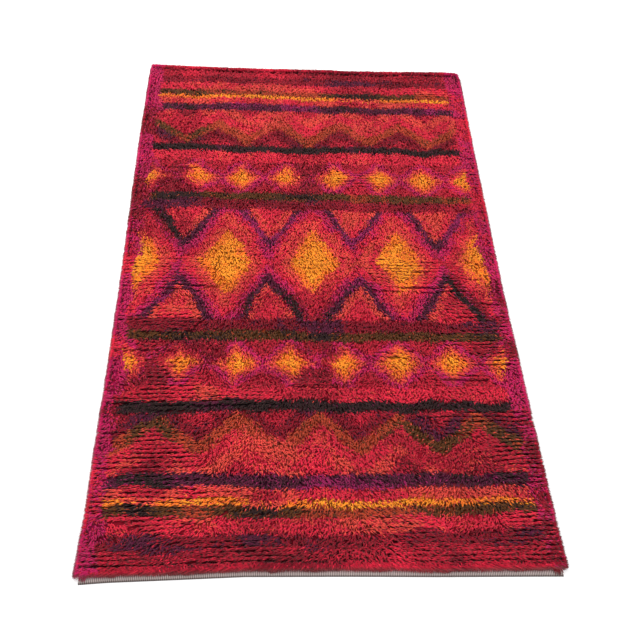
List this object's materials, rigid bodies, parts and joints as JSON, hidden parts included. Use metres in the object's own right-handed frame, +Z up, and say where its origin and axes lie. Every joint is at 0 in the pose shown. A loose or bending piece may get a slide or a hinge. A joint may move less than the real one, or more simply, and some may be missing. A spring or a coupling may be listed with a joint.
{
  "type": "rya rug",
  "caption": "Rectangular shaggy knotted wool rug lying flat, with a ribbed cotton tape sewn under each short end.",
  "frame": {"origin": "middle of the rug's underside, on the surface that it lies on", "axes": "+Y along the rug's length from the near end to the far end, +Z up out of the pile"},
  "size_m": [1.3724, 2.0906, 0.0245],
  "materials": {
    "pile_wool": "long knotted wool pile in crimson, magenta, orange, plum and olive yarns",
    "tape_cotton": "pale ribbed cotton tape"
  },
  "bodies": {
    "root": {"pile_cloth": "pile_wool", "near_tape": "tape_cotton", "far_tape": "tape_cotton"}
  },
  "joints": []
}
